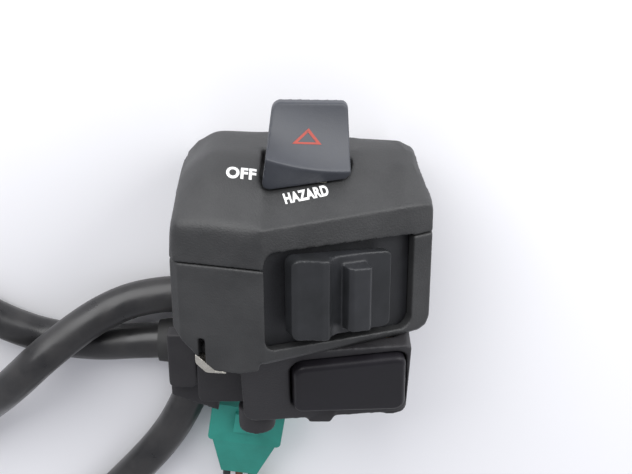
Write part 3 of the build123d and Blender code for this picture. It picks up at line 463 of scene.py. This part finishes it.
def word_mesh(word):
    """Letters as a flat mesh scaled to unit width and height, cut fine enough to bend over a curve."""
    data = bpy.data.curves.new(word, "FONT")
    data.body = word
    data.size = 1.0
    data.offset = 0.045
    data.space_character = 1.08
    holder = bpy.data.objects.new(word, data)
    bpy.context.scene.collection.objects.link(holder)
    graph = bpy.context.evaluated_depsgraph_get()
    mesh = bpy.data.meshes.new_from_object(holder.evaluated_get(graph))
    bpy.data.objects.remove(holder)
    xs = [v.co.x for v in mesh.vertices]
    ys = [v.co.y for v in mesh.vertices]
    for vertex in mesh.vertices:
        vertex.co.x = (vertex.co.x - min(xs)) / (max(xs) - min(xs))
        vertex.co.y = (vertex.co.y - min(ys)) / (max(ys) - min(ys))
    shape = bmesh.new()
    shape.from_mesh(mesh)
    bmesh.ops.triangulate(shape, faces=shape.faces)
    for _ in range(2):
        bmesh.ops.subdivide_edges(shape, edges=shape.edges, cuts=1, use_grid_fill=True)
    shape.to_mesh(mesh)
    shape.free()
    return mesh


print_on("print_off", word_mesh("OFF"), (-16.44, 13.22, 19.63), (-10.9, 12.88, 20.01),
         (-16.42, 14.38, 16.83), upper, "housing", white_ink)
print_on("print_hazard", word_mesh("HAZARD"), (-5.45, 9.84, 23.98),
         (2.50, 9.79, 19.57), (-6.12, 11.03, 21.97), upper, "housing", white_ink)


def triangle_mesh(line):
    """Outline of a triangle in a unit square, as a strip of even width cut into short pieces."""
    outer = [Vector((0, 0)), Vector((1, 0)), Vector((0.5, 1))]
    centre = sum(outer, Vector((0, 0))) / 3
    inner = [centre + (corner - centre) * (1 - line) for corner in outer]
    points, faces = [], []
    steps = 12
    for side in range(3):
        for step in range(steps):
            share = step / steps
            for ring in (outer, inner):
                spot = ring[side].lerp(ring[(side + 1) % 3], share)
                points.append((spot.x, spot.y, 0))
    count = len(points)
    for index in range(0, count, 2):
        faces.append((index, (index + 2) % count, (index + 3) % count, index + 1))
    mesh = bpy.data.meshes.new("triangle")
    mesh.from_pydata(points, [], faces)
    return mesh


print_on("print_triangle", triangle_mesh(0.38), (-4.34, 19.35, 18.38), (1.01, 18.24, 15.81),
         (-4.08, 21.72, 16.52), key, "hazard_switch", red_ink)

# %% [markdown]
# ## Cords
# A sleeved loom is a fixed length of something flexible, so it is a curve with a round section. The NURBS
# spline passes near its control points and rounds every corner by itself. Both looms are shorter here than
# on the real part, whose looms go on for some way, so that they take up little room on the table.

# %% Cord helper and routes
LOOM_D = 8.0
WIRE_D = 1.8


def cord_curve(name, points, diameter, finish):
    """A round cord along a NURBS spline with the route's points, given in millimetres."""
    data = bpy.data.curves.new(name, "CURVE")
    data.dimensions = "3D"
    data.bevel_depth = diameter * MM / 2
    data.bevel_resolution = 6
    data.resolution_u = 12
    spline = data.splines.new("NURBS")
    spline.points.add(len(points) - 1)
    for point, place in zip(spline.points, points):
        point.co = (*[c * MM for c in place], 1.0)
    spline.order_u = 3
    spline.use_endpoint_u = True
    data.materials.append(finish)
    piece = bpy.data.objects.new(name, data)
    bpy.context.scene.collection.objects.link(piece)
    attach(piece, "housing")
    return piece


TABLE_Z = floor_z / MM
LOOM_Z = TABLE_Z + LOOM_D / 2
EXIT_Z = LOOM_Z + 1.1
HUMP_Z = LOOM_Z + LOOM_D + 1.2
loom_1_route = [
    (-31.0, -38.0, EXIT_Z), (-39.0, -38.0, EXIT_Z), (-51.0, -39.5, LOOM_Z), (-65.5, -36.5, LOOM_Z),
    (-79.5, -28.0, LOOM_Z), (-95.0, -14.5, LOOM_Z), (-117.0, -15.5, LOOM_Z), (-132.5, -32.5, LOOM_Z),
    (-132.0, -55.5, LOOM_Z), (-115.5, -71.0, LOOM_Z), (-93.5, -71.0, LOOM_Z), (-78.5, -57.0, LOOM_Z + 1.1),
    (-68.0, -46.0, HUMP_Z), (-57.5, -35.5, HUMP_Z), (-45.5, -28.8, LOOM_Z + 2.5), (-34.0, -26.5, LOOM_Z),
    (-23.0, -26.5, LOOM_Z),
]
loom_2_exit = Vector((-26.0, -45.4, EXIT_Z))
loom_2_way = Vector((-4.0, -10.0, 0.0)).normalized()
loom_2_route = [
    tuple(loom_2_exit), tuple(loom_2_exit + loom_2_way * 10.5), (-35.8, -65.5, LOOM_Z),
    (-44.5, -75.5, LOOM_Z), (-54.5, -86.0, LOOM_Z), (-61.3, -98.5, LOOM_Z), (-62.0, -112.5, LOOM_Z),
    (-54.5, -126.0, LOOM_Z), (-40.0, -133.3, LOOM_Z), (-24.0, -132.0, LOOM_Z), (-11.0, -122.5, LOOM_Z),
    (-4.7, -108.0, LOOM_Z), (-5.8, -95.0, LOOM_Z),
]
loom_1 = cord_curve("loom_1_sleeve", loom_1_route, LOOM_D, sleeve_vinyl)
loom_2 = cord_curve("loom_2_sleeve", loom_2_route, LOOM_D, sleeve_vinyl)
for piece, node in ((loom_1, "loom_1"), (loom_2, "loom_2")):
    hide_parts(node)
print("looms", len(loom_1_route), len(loom_2_route))

# %% [markdown]
# Three thin wires leave the second sleeve and go into the teal connector, which lies a little turned. Each
# is its own short curve. At a turn the outer wire goes on a little further before it bends, which keeps the
# three beside each other.

# %% Wires between sleeve and connector
PLUG_TURN = math.radians(9.0)
PLUG_AT = Vector((-15.9, -58.3, TABLE_Z + 4.5))
PLUG_HALF, BOOT_LEN = 4.8, 9.4
WIRE_PITCH, WIRE_RUN = 2.9, 8.0
plug_axis = Vector((math.sin(PLUG_TURN), math.cos(PLUG_TURN), 0.0))
plug_across = Vector((plug_axis.y, -plug_axis.x, 0.0))
boot_end = PLUG_AT - plug_axis * (PLUG_HALF + BOOT_LEN)
sleeve_end = Vector(loom_2_route[-1])
along = (sleeve_end - Vector(loom_2_route[-2])).normalized()
across = along.cross(Vector((0, 0, 1)))
wires_way = boot_end - plug_axis * WIRE_RUN - sleeve_end - along * WIRE_RUN
leave = WIRE_PITCH * math.tan(along.angle(wires_way) / 2)
arrive = WIRE_PITCH * math.tan(wires_way.angle(plug_axis) / 2)
for index, colour in enumerate(("black", "brown", "green")):
    side = index - 1
    start = sleeve_end + across * (side * WIRE_PITCH)
    end = boot_end + plug_across * (side * WIRE_PITCH)
    route = [start, start + along * (WIRE_RUN + side * leave),
             end - plug_axis * (WIRE_RUN - side * arrive), end]
    wire = cord_curve("core_" + colour, [tuple(p) for p in route], WIRE_D, wire_finishes[colour])
    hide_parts("wire_" + colour)
